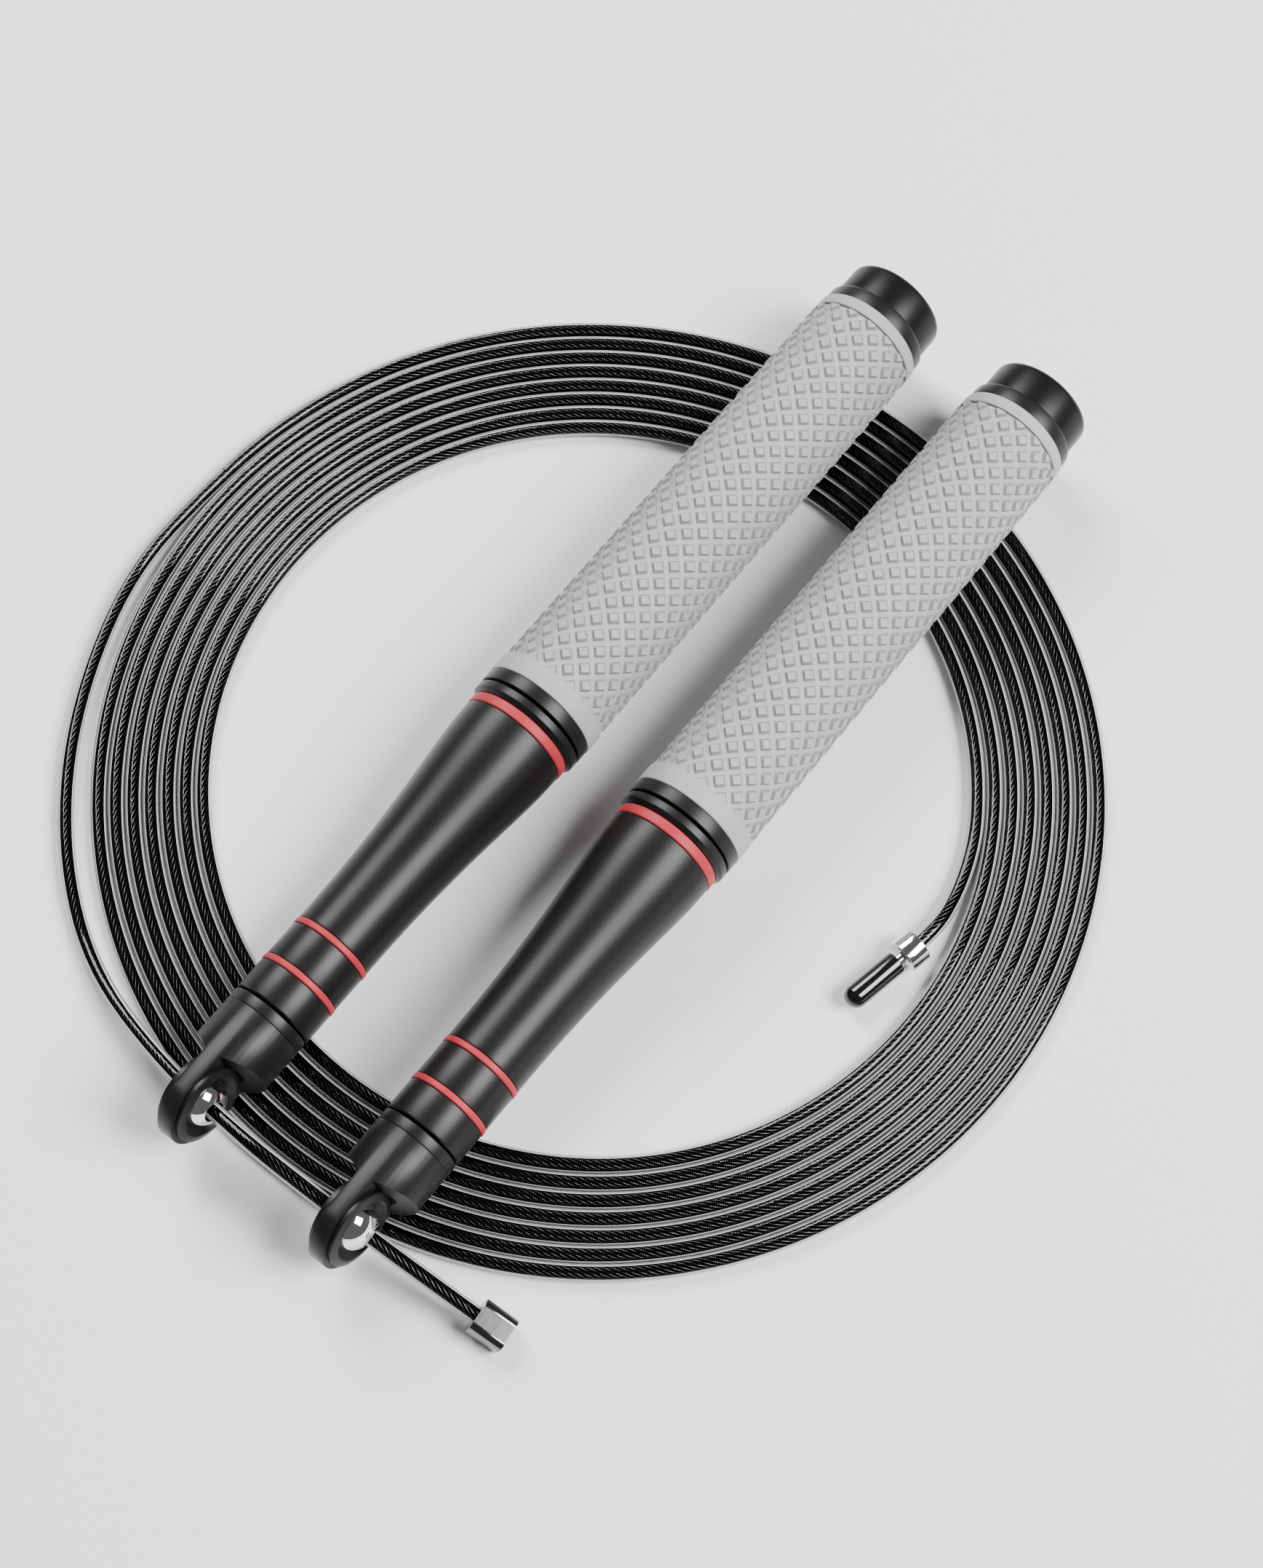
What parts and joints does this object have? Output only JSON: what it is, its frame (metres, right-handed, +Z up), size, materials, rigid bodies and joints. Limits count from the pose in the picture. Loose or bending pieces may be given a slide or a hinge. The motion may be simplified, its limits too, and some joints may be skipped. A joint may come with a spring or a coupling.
{
  "type": "jump rope",
  "caption": "Coiled speed jump rope: clear-jacketed steel cable, two slim black handles with grey textured grips on bearings, each hung on a chrome ball swivel",
  "frame": {"origin": "centre of the box around the two handles with their balls, 11.6 mm above the floor that the coil lies on", "axes": "+Z up from the floor; the handles lie nearly flat and run towards +X and +Y, with their longest reach along +Y"},
  "size_m": [0.1581, 0.1702, 0.0217],
  "materials": {
    "cable_jacket": "clear glossy jacket over a dark twisted steel core",
    "ball_chrome": "mirror polished",
    "black_anodised": "black anodised, satin",
    "red_anodised": "red anodised, satin",
    "steel_inner": "ground",
    "grip_silicone": "matte grey silicone",
    "cap_black": "fine matte",
    "ferrule_steel": "satin, crimped",
    "collar_chrome": "turned and polished",
    "bumper_rubber": "glossy black"
  },
  "bodies": {
    "rope": {"cable_coil": "cable_jacket", "cable_lead": "cable_jacket", "cable_tail": "cable_jacket", "ferrule": "ferrule_steel", "stop_collar": "collar_chrome", "set_screw": "steel_inner", "bumper": "bumper_rubber"},
    "ball_left": {"swivel_ball_left": "ball_chrome"},
    "head_left": {"swivel_head_left": "black_anodised", "socket_ring_left": "black_anodised", "dust_ring_left": "black_anodised", "axle_screw_left": "steel_inner", "axle_spacer_left": "steel_inner", "inner_races_left": "steel_inner"},
    "handle_left": {"handle_body_left": "black_anodised", "outer_races_left": "steel_inner", "bearing_balls_left": "steel_inner", "retaining_clip_left": "steel_inner", "slim_rings_left": "red_anodised", "wide_ring_left": "red_anodised", "front_collar_left": "black_anodised", "grip_sleeve_left": "grip_silicone", "rear_collar_left": "black_anodised", "end_cap_left": "cap_black"},
    "ball_right": {"swivel_ball_right": "ball_chrome"},
    "head_right": {"swivel_head_right": "black_anodised", "socket_ring_right": "black_anodised", "dust_ring_right": "black_anodised", "axle_screw_right": "steel_inner", "axle_spacer_right": "steel_inner", "inner_races_right": "steel_inner"},
    "handle_right": {"handle_body_right": "black_anodised", "outer_races_right": "steel_inner", "bearing_balls_right": "steel_inner", "retaining_clip_right": "steel_inner", "slim_rings_right": "red_anodised", "wide_ring_right": "red_anodised", "front_collar_right": "black_anodised", "grip_sleeve_right": "grip_silicone", "rear_collar_right": "black_anodised", "end_cap_right": "cap_black"}
  },
  "joints": [
    {"name": "ball_left_turn", "type": "hinge", "parent": "rope", "child": "ball_left", "pos_m": [-0.0628, -0.05567, -0.00203], "axis": [0.6762, -0.6762, 0.2924], "range_deg": [0, 120]},
    {"name": "head_left_roll", "type": "hinge", "parent": "ball_left", "child": "head_left", "pos_m": [-0.0628, -0.05567, -0.00203], "axis": [0.6183, 0.7857, 0.0182], "range_deg": [-20, 20]},
    {"name": "handle_left_spin", "type": "hinge", "parent": "head_left", "child": "handle_left", "pos_m": [-0.0628, -0.05567, -0.00203], "axis": [0.6183, 0.7857, 0.0182], "continuous": true},
    {"name": "ball_right_turn", "type": "hinge", "parent": "rope", "child": "ball_right", "pos_m": [-0.04085, -0.07362, -0.00203], "axis": [0.7942, -0.5458, -0.2672], "range_deg": [0, 120]},
    {"name": "head_right_roll", "type": "hinge", "parent": "ball_right", "child": "head_right", "pos_m": [-0.04085, -0.07362, -0.00203], "axis": [0.6183, 0.7857, 0.0182], "range_deg": [-20, 20]},
    {"name": "handle_right_spin", "type": "hinge", "parent": "head_right", "child": "handle_right", "pos_m": [-0.04085, -0.07362, -0.00203], "axis": [0.6183, 0.7857, 0.0182], "continuous": true}
  ]
}
